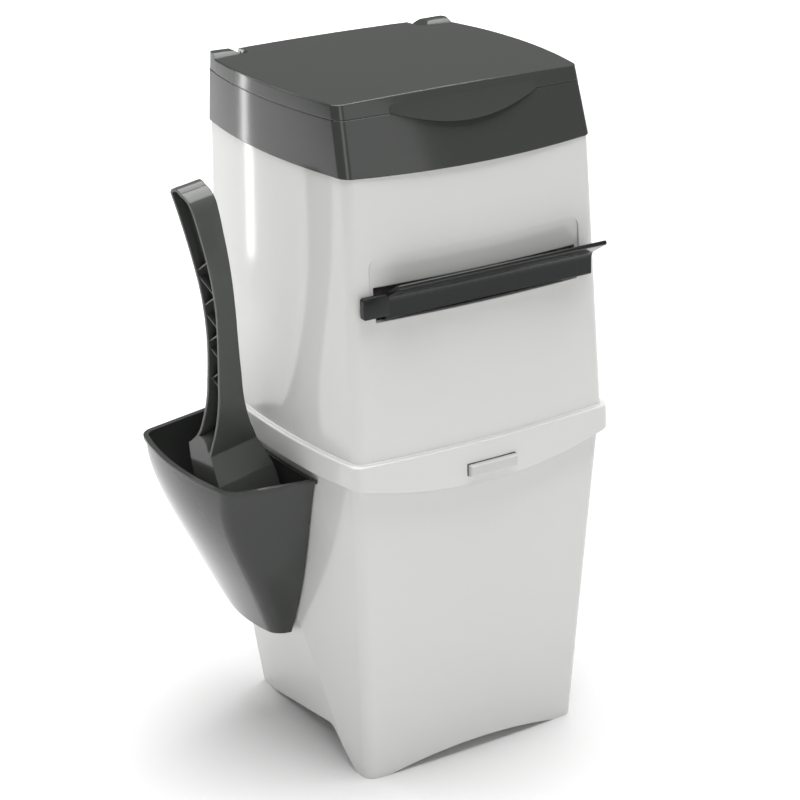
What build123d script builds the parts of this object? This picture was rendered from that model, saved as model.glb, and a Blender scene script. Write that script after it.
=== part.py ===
"""Litter disposal pail: a tapered pail, a hinged upper unit with a film cassette and a sliding gate,
a hinged lid, and a side pouch that holds the scoop.

Millimetres. +X is the right side, +Y the back, +Z up. The origin is on the floor, under the middle of the
pail. Every flank is a bulged rounded square, so each wall is described by two stations and one formula.
"""

import os
from collections import namedtuple
from math import cos, radians, sin, sqrt

from build123d import *

os.makedirs("parts", exist_ok=True)

# ---------------------------------------------------------------------------------------------------
# Driving dimensions
# ---------------------------------------------------------------------------------------------------
WALL = 2.5  # moulded wall of every large shell
CORNER = 9.0  # plan radius of the four upright corners
SEAT = 0.3  # air between different bodies that pass or face each other
PIN_RADIUS = 2.0
PIN_BORE = 2.05

PAIL_TOP = 262.0  # rim of the pail, hidden in the band
BAND_BOTTOM = 251.5  # lower edge of the band on the sides and at the back
BAND_SAG = 14.0  # how far the band's front edge hangs down in the middle
BAND_TOP = 269.6
DECK = 2.8  # thickness of the band's deck
HOUSING_TOP = 478.0
COLLAR_BOTTOM = 476.6
COLLAR_SAG = 3.0
COLLAR_TOP = 514.6
LID_TOP = 525.0

GATE_Z = 384.5  # middle plane of the sliding gate
GATE_THICK = 3.0
GATE_HALF = 84.0  # half width of the gate plate
GATE_FRONT = -100.0
GATE_REAR = 72.0
RAIL_INNER = 80.0
RAIL_OUTER = 92.0

SLOT_HALF = 86.0
SLOT_LOW = 372.4
SLOT_HIGH = 397.0

CASSETTE_Y = 3.0  # centre of the round film cassette
CASSETTE_RADIUS = 87.0
CASSETTE_BORE = 58.0

# A station is the outline of a wall at one level: half width and depth at the corners, and how far the
# middle of the front, of the sides and of the back stands out from the line between two corners.
Station = namedtuple("Station", "level half front back front_bulge side_bulge back_bulge")
PAIL_WALL = (
    Station(0.0, 94.6, -95.8, 87.7, 4.0, 4.5, 2.0),
    Station(PAIL_TOP, 107.4, -112.2, 104.4, 6.2, 9.6, 3.0),
)
BAND_WALL = (
    Station(BAND_BOTTOM - BAND_SAG - 4, 111.6, -117.4, 110.2, 6.8, 10.8, 3.0),
    Station(BAND_TOP, 110.6, -116.6, 109.2, 6.8, 10.8, 3.0),
)
UPPER_WALL = (
    Station(BAND_TOP, 107.4, -113.2, 106.2, 6.6, 10.6, 3.0),
    Station(HOUSING_TOP, 102.4, -98.4, 102.4, 5.2, 10.6, 3.0),
)
COLLAR_WALL = (
    Station(COLLAR_BOTTOM - COLLAR_SAG, 103.8, -99.8, 103.8, 6.4, 10.8, 3.0),
    Station(COLLAR_TOP, 101.4, -88.4, 103.8, 4.2, 10.4, 3.0),
)
LID_WALL = (
    Station(COLLAR_TOP, 101.4, -88.4, 103.8, 4.2, 10.4, 3.0),
    Station(LID_TOP, 100.8, -85.6, 103.8, 2.6, 10.2, 3.0),
)

# Side facets: below the pouch each flank is planed off along a slanted crease.
FACET_POINT = (-98.9, -50.0, 29.5)
FACET_NORMAL = (-8859.0, 666.0, -1166.0)

# Hinge of the upper unit on the pail, and of the lid on the collar
TILT_Y, TILT_Z = 118.0, 250.6
EAR_X = 60.0
LID_PIN_Y, LID_PIN_Z = 95.5, 516.6

# Pouch on the left flank: level, then depth of its ends at the wall and at the outer corners, and how
# far out the corners and the middle of its outer face stand.
PouchStation = namedtuple("PouchStation", "level front back corner_front corner_back corner middle")
POUCH = (
    PouchStation(90.0, -3.0, 86.0, 0.0, 84.0, 119.0, 125.0),
    PouchStation(126.0, -22.0, 92.0, -16.0, 85.0, 137.0, 143.0),
    PouchStation(160.0, -36.0, 97.0, -29.0, 86.0, 153.0, 160.5),
    PouchStation(200.0, -49.0, 103.0, -38.0, 88.0, 170.0, 178.5),
    PouchStation(243.0, -63.0, 108.0, -51.0, 90.0, 178.0, 187.5),
)
POUCH_WALL = 2.2
POUCH_GAP = 1.2
POUCH_CORNER = 14.0

# Scoop: stands in the pouch, turned a little and leaning outwards
SCOOP_ORIGIN = (-152.4, -7.9, 266.9)
SCOOP_TURN = 8.0
SCOOP_LEAN = 6.4
SCOOP_WALL = 2.2


# ---------------------------------------------------------------------------------------------------
# Helpers: walls as formulas
# ---------------------------------------------------------------------------------------------------
def between(wall, level):
    """The station of a wall at any level, on the straight line through its two stations."""
    low, high = wall
    t = (level - low.level) / (high.level - low.level)
    return Station(*(a + (b - a) * t for a, b in zip(low, high)))


def outline(wall, level, grow=0.0):
    """Bulged rounded square of a wall at a level, grown outwards by a distance."""
    s = between(wall, level)
    half, front, back = s.half + grow, s.front - grow, s.back + grow
    middle = (front + back) / 2
    with BuildSketch(Plane.XY.offset(level)) as sketch:
        with BuildLine():
            ThreePointArc((-half, front), (0, front - s.front_bulge), (half, front))
            ThreePointArc((half, front), (half + s.side_bulge, middle), (half, back))
            ThreePointArc((half, back), (0, back + s.back_bulge), (-half, back))
            ThreePointArc((-half, back), (-half - s.side_bulge, middle), (-half, front))
        make_face()
        fillet(sketch.vertices(), CORNER + grow)
    return sketch.sketch


def walls(wall, low, high, grow=0.0):
    """The two outlines that a straight loft of a wall runs through."""
    return [outline(wall, low, grow), outline(wall, high, grow)]


def arc_bulge(chord_half, bulge, across):
    """How far a shallow arc still stands out, at a distance from the middle of its chord."""
    radius = (chord_half**2 + bulge**2) / (2 * bulge)
    return bulge - radius + sqrt(radius**2 - across**2)


def side_x(wall, level, y, grow=0.0):
    """Distance of a wall's side from the middle plane, at a level and depth."""
    s = between(wall, level)
    middle, chord = (s.front + s.back) / 2, (s.back - s.front) / 2 + grow
    return s.half + grow + arc_bulge(chord, s.side_bulge, y - middle)


def front_y(wall, level, x, grow=0.0):
    """Depth of a wall's front, at a level and distance from the middle plane."""
    s = between(wall, level)
    return s.front - grow - arc_bulge(s.half + grow, s.front_bulge, x)


def facet_plane(side, inset):
    """Plane of the planed-off facet on one side, moved inwards by an inset, facing outwards."""
    x, y, z = FACET_POINT
    nx, ny, nz = FACET_NORMAL
    plane = Plane(origin=(-side * x, y, z), x_dir=(0, 1, 0), z_dir=(-side * nx, ny, nz))
    return plane.offset(-inset)


def cut_base(inset):
    """Plane off the side facets and cut the arched tunnels that leave four feet, in the part at work."""
    for side in (-1, 1):
        with BuildSketch(facet_plane(side, inset)) as facet:
            Rectangle(600, 600)
        extrude(facet.sketch, amount=80, mode=Mode.SUBTRACT)
    with BuildSketch(Plane.YZ) as side_arch:
        Polygon((-90.3, -10), (-50, 29), (126, -13), align=None)
        fillet(side_arch.vertices().sort_by(Axis.Y)[-1], 12)
        if inset:
            offset(amount=inset, kind=Kind.INTERSECTION)
    extrude(side_arch.sketch, amount=160, both=True, mode=Mode.SUBTRACT)
    with BuildSketch(Plane.XZ) as front_arch:
        with BuildLine():
            ThreePointArc((-76, 0), (0, 9), (76, 0))
            Polyline((76, 0), (76, -12), (-76, -12), (-76, 0))
        make_face()
        if inset:
            offset(amount=inset, kind=Kind.INTERSECTION)
    extrude(front_arch.sketch, amount=160, both=True, mode=Mode.SUBTRACT)


def block(low, high, mode=Mode.ADD):
    """Add or cut a straight block between two corners."""
    centre = tuple((a + b) / 2 for a, b in zip(low, high))
    size = (b - a for a, b in zip(low, high))
    with Locations(centre):
        Box(*size, mode=mode)


def rod(start, length, radius, axis=Axis.X, mode=Mode.ADD):
    """Add or cut a round rod from a start point along an axis."""
    plane = Plane(origin=start, z_dir=axis.direction)
    with BuildSketch(plane) as disc:
        Circle(radius)
    extrude(disc.sketch, amount=length, mode=mode)


def finish(part, name):
    """Label a piece and write it."""
    part.label = name
    export_step(part, f"parts/{name}.step")


# ---------------------------------------------------------------------------------------------------
# Pail
# ---------------------------------------------------------------------------------------------------
PRONG_LEVEL = 203.0
PRONG_Y = (-10.0, 56.0)
PRONG_HALF = 7.0
PRONG_GAP = 5.2

with BuildPart() as pail_cavity:
    loft(walls(PAIL_WALL, WALL, PAIL_TOP + 1, -WALL), ruled=True)
    cut_base(WALL)

with BuildPart() as pail:
    loft(walls(PAIL_WALL, 0, PAIL_TOP), ruled=True)
    cut_base(0)
    add(pail_cavity.part, mode=Mode.SUBTRACT)
    # ears of the rear hinge
    for side in (-1, 1):
        with BuildSketch(Plane.YZ.offset(side * EAR_X)) as ear:
            with Locations((TILT_Y, TILT_Z)):
                Circle(5.4)
            Polygon((TILT_Y, TILT_Z - 5.4), (TILT_Y, TILT_Z), (102.2, 246.0), (101.6, 228.0), align=None)
        extrude(ear.sketch, amount=4, both=True)
        rod((side * EAR_X - 5, TILT_Y, TILT_Z), 10, PIN_BORE, mode=Mode.SUBTRACT)
    # upward prongs that carry the pouch
    for prong_y in PRONG_Y:
        wall_x = -side_x(PAIL_WALL, PRONG_LEVEL, prong_y)
        low_y, high_y = prong_y - PRONG_HALF, prong_y + PRONG_HALF
        block((wall_x - PRONG_GAP, low_y, PRONG_LEVEL - 3), (wall_x + 1.5, high_y, PRONG_LEVEL))
        block((wall_x - PRONG_GAP - 2, low_y, PRONG_LEVEL - 3), (wall_x - PRONG_GAP, high_y, PRONG_LEVEL + 5.5))
finish(pail.part, "pail")

CATCH_REAR = -103.7
CATCH_LOW, CATCH_HIGH = 254.6, 260.0

with BuildPart() as latch_catch:
    with BuildSketch(Plane.YZ) as catch_side:
        Polygon((-125, 240), (-125, CATCH_HIGH), (CATCH_REAR, CATCH_HIGH), (CATCH_REAR, CATCH_LOW), align=None)
    extrude(catch_side.sketch, amount=14, both=True)
    add(pail_cavity.part, mode=Mode.INTERSECT)
finish(latch_catch.part, "latch_catch")

with BuildPart() as rear_hinge_pins:
    for side in (-1, 1):
        rod((side * EAR_X - 13, TILT_Y, TILT_Z), 26, PIN_RADIUS)
        rod((side * EAR_X - 14.2, TILT_Y, TILT_Z), 1.2, PIN_RADIUS + 1.4)
finish(rear_hinge_pins.part, "rear_hinge_pins")

# ---------------------------------------------------------------------------------------------------
# Band between pail and upper unit: a skirt with a deck
# ---------------------------------------------------------------------------------------------------
BUTTON_HALF = 20.3
BUTTON_LOW, BUTTON_HIGH = 245.8, 253.8
BUTTON_PROUD = 4.4
KNUCKLE = 8.0
LATCH_Z = 258.4
GUIDE_FRONT, GUIDE_REAR = -97.0, -88.0
SPRING_POCKET = 5.2
STEM_HALF = 9.4  # half width of the latch's stem behind the skirt
STEM_LOW, STEM_HIGH = 243.4, 265.8
STEM_POCKET = 1.4  # what is left of the skirt in front of the stem

with BuildPart() as mid_frame:
    low = BAND_BOTTOM - BAND_SAG - 4
    loft(walls(BAND_WALL, low, BAND_TOP), ruled=True)
    fillet(mid_frame.faces().sort_by(Axis.Z)[-1].edges(), 1.2)
    loft(walls(BAND_WALL, low - 1, BAND_TOP - DECK, -WALL), ruled=True, mode=Mode.SUBTRACT)
    # lower edge: level on the sides, hanging like a smile in front
    block((-200, -105, low - 5), (200, 200, BAND_BOTTOM), Mode.SUBTRACT)
    with BuildSketch(Plane.XZ.offset(90)) as smile:
        with BuildLine():
            ThreePointArc((-112, BAND_BOTTOM + 0.6), (0, BAND_BOTTOM - BAND_SAG), (112, BAND_BOTTOM + 0.6))
            Line((112, BAND_BOTTOM + 0.6), (130, BAND_BOTTOM + 0.6))
            Polyline((130, BAND_BOTTOM + 0.6), (130, low - 5), (-130, low - 5), (-130, BAND_BOTTOM + 0.6))
            Line((-130, BAND_BOTTOM + 0.6), (-112, BAND_BOTTOM + 0.6))
        make_face()
    extrude(smile.sketch, amount=60, mode=Mode.SUBTRACT)
    # opening in the deck for the bag
    with BuildSketch(Plane.XY.offset(BAND_TOP - DECK)) as mouth:
        with Locations((0, 6)):
            RectangleRounded(164, 156, 22)
    extrude(mouth.sketch, amount=DECK, mode=Mode.SUBTRACT)
    # window of the release button
    skirt_y = front_y(BAND_WALL, 250, 0)
    block(
        (-BUTTON_HALF - 0.7, skirt_y - 2, BUTTON_LOW - 0.7),
        (BUTTON_HALF + 0.7, skirt_y + 3.2, BUTTON_HIGH + 0.7),
        Mode.SUBTRACT,
    )
    # room for the latch's stem inside the skirt, and its guide hanging from the deck
    block(
        (-STEM_HALF - 1, skirt_y + STEM_POCKET, STEM_LOW - 1),
        (STEM_HALF + 1, skirt_y + 5, BAND_TOP - DECK),
        Mode.SUBTRACT,
    )
    block((-10, GUIDE_FRONT, LATCH_Z - 8), (10, GUIDE_REAR, BAND_TOP - 1))
    rod((0, GUIDE_FRONT - 1, LATCH_Z), 12, 3.3, Axis.Y, Mode.SUBTRACT)
    rod((0, GUIDE_FRONT, LATCH_Z), SPRING_POCKET, 6.3, Axis.Y, Mode.SUBTRACT)
    # knuckles of the rear hinge
    for side in (-1, 1):
        for step in (-1, 1):
            x = side * EAR_X + step * (4 + SEAT + KNUCKLE / 2)
            with BuildSketch(Plane.YZ.offset(x)) as knuckle:
                with Locations((TILT_Y, TILT_Z)):
                    Circle(5.4)
                Polygon(
                    (TILT_Y, TILT_Z),
                    (TILT_Y - 3, TILT_Z + 5.4),
                    (111.0, 264.0),
                    (110.4, BAND_BOTTOM),
                    align=None,
                )
            extrude(knuckle.sketch, amount=KNUCKLE / 2, both=True)
        rod((side * EAR_X - 16, TILT_Y, TILT_Z), 32, PIN_BORE, mode=Mode.SUBTRACT)
finish(mid_frame.part, "mid_frame")

# ---------------------------------------------------------------------------------------------------
# Release button, latch and spring
# ---------------------------------------------------------------------------------------------------
STEM_FRONT = skirt_y + STEM_POCKET + 0.2
STEM_REAR = STEM_FRONT + 1.2
WING_FRONT = CATCH_REAR + SEAT  # the latch's drop, just behind the catch
WING_REAR = WING_FRONT + 2.4
SPRING_OUTER, SPRING_INNER, SPRING_LENGTH = 5.2, 4.2, 6.6

with BuildPart() as release_button:
    block((-BUTTON_HALF, skirt_y - BUTTON_PROUD, BUTTON_LOW), (BUTTON_HALF, STEM_FRONT, BUTTON_HIGH))
    fillet(release_button.faces().sort_by(Axis.Y)[0].edges(), 1.4)
finish(release_button.part, "release_button")

with BuildPart() as latch_hook:
    block((-STEM_HALF, STEM_FRONT, STEM_LOW), (STEM_HALF, STEM_REAR, STEM_HIGH))
    block((-STEM_HALF, STEM_FRONT, PAIL_TOP + 0.8), (STEM_HALF, WING_REAR, STEM_HIGH))
    block((-12, WING_FRONT, 253.0), (12, WING_REAR, STEM_HIGH))
    rod((0, WING_REAR - 0.5, LATCH_Z), 13, 3.0, Axis.Y)
finish(latch_hook.part, "latch_hook")

with BuildPart() as button_spring:
    rod((0, WING_REAR, LATCH_Z), SPRING_LENGTH, SPRING_OUTER, Axis.Y)
    rod((0, WING_REAR, LATCH_Z), SPRING_LENGTH, SPRING_INNER, Axis.Y, Mode.SUBTRACT)
finish(button_spring.part, "button_spring")

# ---------------------------------------------------------------------------------------------------
# Upper housing
# ---------------------------------------------------------------------------------------------------
DISH_HALF = 89.0  # finger recess above the slot
DISH_HIGH = 419.0
DISH_DEPTH = 1.4
PATCH = 4.5  # thicker wall behind the finger recess

with BuildPart() as housing_cavity:
    loft(walls(UPPER_WALL, BAND_TOP - 1, HOUSING_TOP + 1, -WALL), ruled=True)
    block((-DISH_HALF - 6, -140, SLOT_LOW - 8), (DISH_HALF + 6, -60, DISH_HIGH + 6), Mode.SUBTRACT)
    loft(walls(UPPER_WALL, BAND_TOP - 1, HOUSING_TOP + 1, -PATCH), ruled=True)

with BuildPart() as dish:
    with BuildSketch(Plane.XZ.offset(90)) as dish_outline:
        with Locations((0, (SLOT_LOW + 12 + DISH_HIGH) / 2)):
            RectangleRounded(2 * DISH_HALF, DISH_HIGH - SLOT_LOW - 12, 9)
    extrude(dish_outline.sketch, amount=40)
    bottom = [
        outline(UPPER_WALL, SLOT_LOW, -DISH_DEPTH),
        outline(UPPER_WALL, SLOT_HIGH, -DISH_DEPTH),
        outline(UPPER_WALL, DISH_HIGH + 1, 0.1),
    ]
    loft(bottom, ruled=True, mode=Mode.SUBTRACT)

with BuildPart() as upper_housing:
    loft(walls(UPPER_WALL, BAND_TOP, HOUSING_TOP), ruled=True)
    add(housing_cavity.part, mode=Mode.SUBTRACT)
    add(dish.part, mode=Mode.SUBTRACT)
    block((-SLOT_HALF, -140, SLOT_LOW), (SLOT_HALF, -80, SLOT_HIGH), Mode.SUBTRACT)
finish(upper_housing.part, "upper_housing")

# ---------------------------------------------------------------------------------------------------
# Top rim: dark collar with a round seat for the cassette and the two hinge blocks
# ---------------------------------------------------------------------------------------------------
RIM_DECK = 3.0
RIM_SEAT = 90.0
HINGE_HALF = 74.5  # the lid lies between the two blocks
HINGE_FRONT = 86.4
BARREL_RADIUS = 12.6
BLOCK_RADIUS = 11.8  # round ends of the collar, seen from the side
RIM_SCREW_RADIUS = 93.6
SCREW_SHANK, SCREW_HOLE, SCREW_HEAD, SCREW_HEAD_HEIGHT = 1.4, 1.45, 2.6, 1.6

with BuildPart() as hinge_blocks:
    for side in (-1, 1):
        with BuildSketch(Plane.XZ.offset(-HINGE_FRONT)) as block_end:
            Polygon(
                (side * HINGE_HALF, HOUSING_TOP + 1),
                (side * HINGE_HALF, 519.0),
                (side * (HINGE_HALF + 10), 527.2),
                (side * 106, 528.4),
                (side * 106, HOUSING_TOP + 1),
                align=None,
            )
        extrude(block_end.sketch, amount=40, both=True)
    with BuildSketch(Plane.YZ) as block_side:
        with Locations((LID_PIN_Y, LID_PIN_Z)):
            Circle(BLOCK_RADIUS)
        with Locations((LID_PIN_Y, (LID_PIN_Z + HOUSING_TOP) / 2)):
            Rectangle(2 * BLOCK_RADIUS, LID_PIN_Z - HOUSING_TOP - 2)
    extrude(block_side.sketch, amount=120, both=True, mode=Mode.INTERSECT)
    loft(walls(COLLAR_WALL, HOUSING_TOP, 530, -SEAT), ruled=True, mode=Mode.INTERSECT)

with BuildPart() as top_rim:
    low = COLLAR_BOTTOM - COLLAR_SAG
    loft(walls(COLLAR_WALL, low, COLLAR_TOP), ruled=True)
    loft(walls(COLLAR_WALL, HOUSING_TOP + RIM_DECK, COLLAR_TOP + 1, -WALL), ruled=True, mode=Mode.SUBTRACT)
    loft(walls(UPPER_WALL, low - 1, HOUSING_TOP, 0.05), ruled=True, mode=Mode.SUBTRACT)
    # lower edge: level on the sides, hanging a little in front
    block((-200, -90, low - 5), (200, 200, COLLAR_BOTTOM), Mode.SUBTRACT)
    with BuildSketch(Plane.XZ.offset(80)) as smile:
        with BuildLine():
            ThreePointArc((-112, COLLAR_BOTTOM + 0.2), (0, low), (112, COLLAR_BOTTOM + 0.2))
            Line((112, COLLAR_BOTTOM + 0.2), (130, COLLAR_BOTTOM + 0.2))
            Polyline((130, COLLAR_BOTTOM + 0.2), (130, low - 5), (-130, low - 5), (-130, COLLAR_BOTTOM + 0.2))
            Line((-130, COLLAR_BOTTOM + 0.2), (-112, COLLAR_BOTTOM + 0.2))
        make_face()
    extrude(smile.sketch, amount=60, mode=Mode.SUBTRACT)
    # the lid's rounded back turns in this notch
    block(
        (-HINGE_HALF, HINGE_FRONT, LID_PIN_Z - BARREL_RADIUS - 0.5), (HINGE_HALF, 120, COLLAR_TOP + 5), Mode.SUBTRACT
    )
    add(hinge_blocks.part)
    with BuildSketch(Plane.XY.offset(HOUSING_TOP)) as seat:
        with Locations((0, CASSETTE_Y)):
            Circle(RIM_SEAT)
    extrude(seat.sketch, amount=RIM_DECK, mode=Mode.SUBTRACT)
    for side in (-1, 1):
        rod((side * HINGE_HALF, LID_PIN_Y, LID_PIN_Z), side * 16, PIN_BORE, mode=Mode.SUBTRACT)
    with Locations((0, CASSETTE_Y, HOUSING_TOP + 1.2)):
        with PolarLocations(RIM_SCREW_RADIUS, 4, start_angle=45):
            Cylinder(SCREW_HOLE, 2.4, mode=Mode.SUBTRACT)
finish(top_rim.part, "top_rim")

with BuildPart() as lid_hinge_pins:
    for side in (-1, 1):
        rod((side * 60, LID_PIN_Y, LID_PIN_Z), side * 30, PIN_RADIUS)
finish(lid_hinge_pins.part, "lid_hinge_pins")

# ---------------------------------------------------------------------------------------------------
# Lid
# ---------------------------------------------------------------------------------------------------
LID_BOTTOM = COLLAR_TOP + SEAT
DOME_RADIUS = 2900.0
DOME_TOP = LID_TOP + 3.0
LIP_HALF = 92.0
LIP_LOW = 505.2
LIP_FLARE = 6.0

with BuildPart() as lid_cavity:
    loft(walls(LID_WALL, LID_BOTTOM - 1, DOME_TOP, -WALL), ruled=True)
    with Locations((0, 0, DOME_TOP - 2.4 - DOME_RADIUS)):
        Sphere(DOME_RADIUS, rotation=(90, 0, 0), mode=Mode.INTERSECT)

with BuildPart() as finger_lip:
    with BuildSketch(Plane.XZ.offset(80)) as lip_front:
        with BuildLine():
            ThreePointArc((-LIP_HALF, 516.4), (0, LIP_LOW), (LIP_HALF, 516.4))
            Polyline((LIP_HALF, 516.4), (LIP_HALF, 521), (-LIP_HALF, 521), (-LIP_HALF, 516.4))
        make_face()
    extrude(lip_front.sketch, amount=40)
    flare = [outline(LID_WALL, LIP_LOW - 1, LIP_FLARE), outline(LID_WALL, 521.0, -0.8)]
    loft(flare, ruled=True, mode=Mode.INTERSECT)
    loft(walls(COLLAR_WALL, LIP_LOW - 2, COLLAR_TOP + 0.4, 0.6), ruled=True, mode=Mode.SUBTRACT)

with BuildPart() as lid:
    loft(walls(LID_WALL, LID_BOTTOM, DOME_TOP + 1), ruled=True)
    with Locations((0, 0, DOME_TOP - DOME_RADIUS)):
        Sphere(DOME_RADIUS, rotation=(90, 0, 0), mode=Mode.INTERSECT)
    fillet(lid.faces().sort_by(Axis.Z)[-1].edges(), 1.2)
    add(finger_lip.part)
    add(lid_cavity.part, mode=Mode.SUBTRACT)
    for side in (-1, 1):
        notch = sorted((side * (HINGE_HALF - 0.4), side * 120))
        block((notch[0], LID_PIN_Y - 4, 500), (notch[1], 120, 540), Mode.SUBTRACT)
        rod((notch[0], LID_PIN_Y, LID_PIN_Z), notch[1] - notch[0], BLOCK_RADIUS + 0.7, mode=Mode.SUBTRACT)
    # rounded back, turning about the pins
    with BuildSketch(Plane.YZ.offset(-HINGE_HALF + 0.4)) as behind:
        with Locations((LID_PIN_Y + 20, LID_PIN_Z)):
            Rectangle(40, 40)
        with Locations((LID_PIN_Y, LID_PIN_Z)):
            Circle(BARREL_RADIUS, mode=Mode.SUBTRACT)
    extrude(behind.sketch, amount=2 * HINGE_HALF - 0.8, mode=Mode.SUBTRACT)
    with BuildSketch(Plane.YZ.offset(-HINGE_HALF + 0.4)) as barrel:
        with Locations((LID_PIN_Y, LID_PIN_Z)):
            Circle(BARREL_RADIUS)
            Circle(BARREL_RADIUS - 2.2, mode=Mode.SUBTRACT)
            with Locations((-20, 0)):
                Rectangle(40, 60, mode=Mode.SUBTRACT)
        with Locations((LID_PIN_Y, DOME_TOP + 7.2)):
            Rectangle(40, 20, mode=Mode.SUBTRACT)
    extrude(barrel.sketch, amount=2 * HINGE_HALF - 0.8)
    for side in (-1, 1):
        near = side * (HINGE_HALF - 16)
        rod((near, LID_PIN_Y, LID_PIN_Z), side * 15.6, 5.4)
        web = sorted((near, side * (HINGE_HALF - 0.4)))
        block((web[0], LID_PIN_Y - 5.4, LID_PIN_Z), (web[1], LID_PIN_Y + 5.4, LID_TOP - 0.2))
        rod((near - side, LID_PIN_Y, LID_PIN_Z), side * 18, PIN_BORE, mode=Mode.SUBTRACT)
    # ring under the lid that closes over the cassette
    with BuildSketch(Plane.XY.offset(504)) as ring:
        with Locations((0, CASSETTE_Y - 6)):
            Circle(78)
            Circle(76, mode=Mode.SUBTRACT)
    extrude(ring.sketch, amount=21)
finish(lid.part, "lid")

# ---------------------------------------------------------------------------------------------------
# Hopper: round well for the cassette, narrowing to the square throat above the gate
# ---------------------------------------------------------------------------------------------------
WELL_RADIUS = 88.3
WELL_WALL = 2.0
WELL_BOTTOM = 448.0
THROAT_Y = 6.0
THROAT_X_SIZE, THROAT_Y_SIZE = 148.0, 140.0
HOPPER_FLANGE = 395.0

with BuildPart() as hopper_hollow:
    with BuildSketch(Plane.XY.offset(WELL_BOTTOM)) as well_end:
        with Locations((0, CASSETTE_Y)):
            RectangleRounded(2 * WELL_RADIUS, 2 * WELL_RADIUS, WELL_RADIUS - 0.05)
    with BuildSketch(Plane.XY.offset(HOPPER_FLANGE - 4)) as throat_end:
        with Locations((0, THROAT_Y)):
            RectangleRounded(THROAT_X_SIZE, THROAT_Y_SIZE, 18)
    loft([throat_end.sketch, well_end.sketch], ruled=True)
    with Locations((0, CASSETTE_Y, (WELL_BOTTOM + HOUSING_TOP) / 2 + 0.5)):
        Cylinder(WELL_RADIUS, HOUSING_TOP - WELL_BOTTOM + 1)

with BuildPart() as hopper:
    with BuildSketch(Plane.XY.offset(WELL_BOTTOM)) as well_base:
        with Locations((0, CASSETTE_Y)):
            radius = WELL_RADIUS + WELL_WALL
            RectangleRounded(2 * radius, 2 * radius, radius - 0.05)
    with BuildSketch(Plane.XY.offset(HOPPER_FLANGE - 3)) as throat_base:
        with Locations((0, THROAT_Y)):
            RectangleRounded(THROAT_X_SIZE + 2 * WELL_WALL, THROAT_Y_SIZE + 2 * WELL_WALL, 20)
    loft([throat_base.sketch, well_base.sketch], ruled=True)
    with Locations((0, CASSETTE_Y, (WELL_BOTTOM + HOUSING_TOP) / 2)):
        Cylinder(WELL_RADIUS + WELL_WALL, HOUSING_TOP - WELL_BOTTOM)
    with Locations((0, CASSETTE_Y, HOUSING_TOP - 1.25)):
        Cylinder(97, 2.5)
    block((-93, -80, HOPPER_FLANGE - 3), (93, 92, HOPPER_FLANGE))
    add(hopper_hollow.part, mode=Mode.SUBTRACT)
    with Locations((0, CASSETTE_Y, HOUSING_TOP - 1.25)):
        with PolarLocations(RIM_SCREW_RADIUS, 4, start_angle=45):
            Cylinder(SCREW_HOLE, 2.5, mode=Mode.SUBTRACT)
    for side in (-1, 1):
        for y in (-72, 84):
            with Locations((side * 88, y, HOPPER_FLANGE - 1.5)):
                Cylinder(SCREW_HOLE, 3, mode=Mode.SUBTRACT)
finish(hopper.part, "hopper")

with BuildPart() as rim_screws:
    with Locations((0, CASSETTE_Y, HOUSING_TOP - 0.25)):
        with PolarLocations(RIM_SCREW_RADIUS, 4, start_angle=45):
            Cylinder(SCREW_SHANK, 4.5)
    with Locations((0, CASSETTE_Y, HOUSING_TOP - 2.5 - SCREW_HEAD_HEIGHT / 2)):
        with PolarLocations(RIM_SCREW_RADIUS, 4, start_angle=45):
            Cylinder(SCREW_HEAD, SCREW_HEAD_HEIGHT)
finish(rim_screws.part, "rim_screws")

# ---------------------------------------------------------------------------------------------------
# Rails, fixed jaw and the sliding gate
# ---------------------------------------------------------------------------------------------------
RAIL_LOW = 379.5
RAIL_TOP = HOPPER_FLANGE - 3.0
RAIL_FRONT, RAIL_REAR = -92.0, 90.0
GROOVE_AIR = 0.15
GATE_LOW = GATE_Z - GATE_THICK / 2


def rail(side):
    """One grooved rail of the gate, added to the part at work."""
    across = sorted((side * RAIL_INNER, side * RAIL_OUTER))
    block((across[0], RAIL_FRONT, RAIL_LOW), (across[1], RAIL_REAR, RAIL_TOP))
    groove = sorted((side * (RAIL_INNER - 1), side * (GATE_HALF + 0.4)))
    block(
        (groove[0], RAIL_FRONT - 1, GATE_LOW - GROOVE_AIR),
        (groove[1], GATE_REAR + 4, GATE_LOW + GATE_THICK + GROOVE_AIR),
        Mode.SUBTRACT,
    )
    for y in (-72, 84):
        rod((side * 88, y, RAIL_TOP - 7), 8, SCREW_HOLE, Axis.Z, Mode.SUBTRACT)


with BuildPart() as rail_left:
    rail(-1)
finish(rail_left.part, "rail_left")

with BuildPart() as rail_right:
    rail(1)
finish(rail_right.part, "rail_right")

with BuildPart() as rail_screws:
    for side in (-1, 1):
        for y in (-72, 84):
            rod((side * 88, y, RAIL_TOP - 6.5), 9.5, SCREW_SHANK, Axis.Z)
            rod((side * 88, y, HOPPER_FLANGE), SCREW_HEAD_HEIGHT, SCREW_HEAD, Axis.Z)
finish(rail_screws.part, "rail_screws")

with BuildPart() as fixed_jaw:
    block((-RAIL_INNER + 0.5, 80, 378), (RAIL_INNER - 0.5, 91, RAIL_TOP - 0.1))
    fillet(fixed_jaw.edges().filter_by(Axis.X), 1.0)
    for x in (-52, 0, 52):
        block((x - 20, 84, 377), (x + 20, 88, 388), Mode.SUBTRACT)
finish(fixed_jaw.part, "fixed_jaw")

with BuildPart() as jaw_strip:
    block((-76, 76.2, 380), (76, 80, 389))
    fillet(jaw_strip.faces().sort_by(Axis.Y)[0].edges().filter_by(Axis.X), 1.5)
finish(jaw_strip.part, "jaw_strip")

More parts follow.
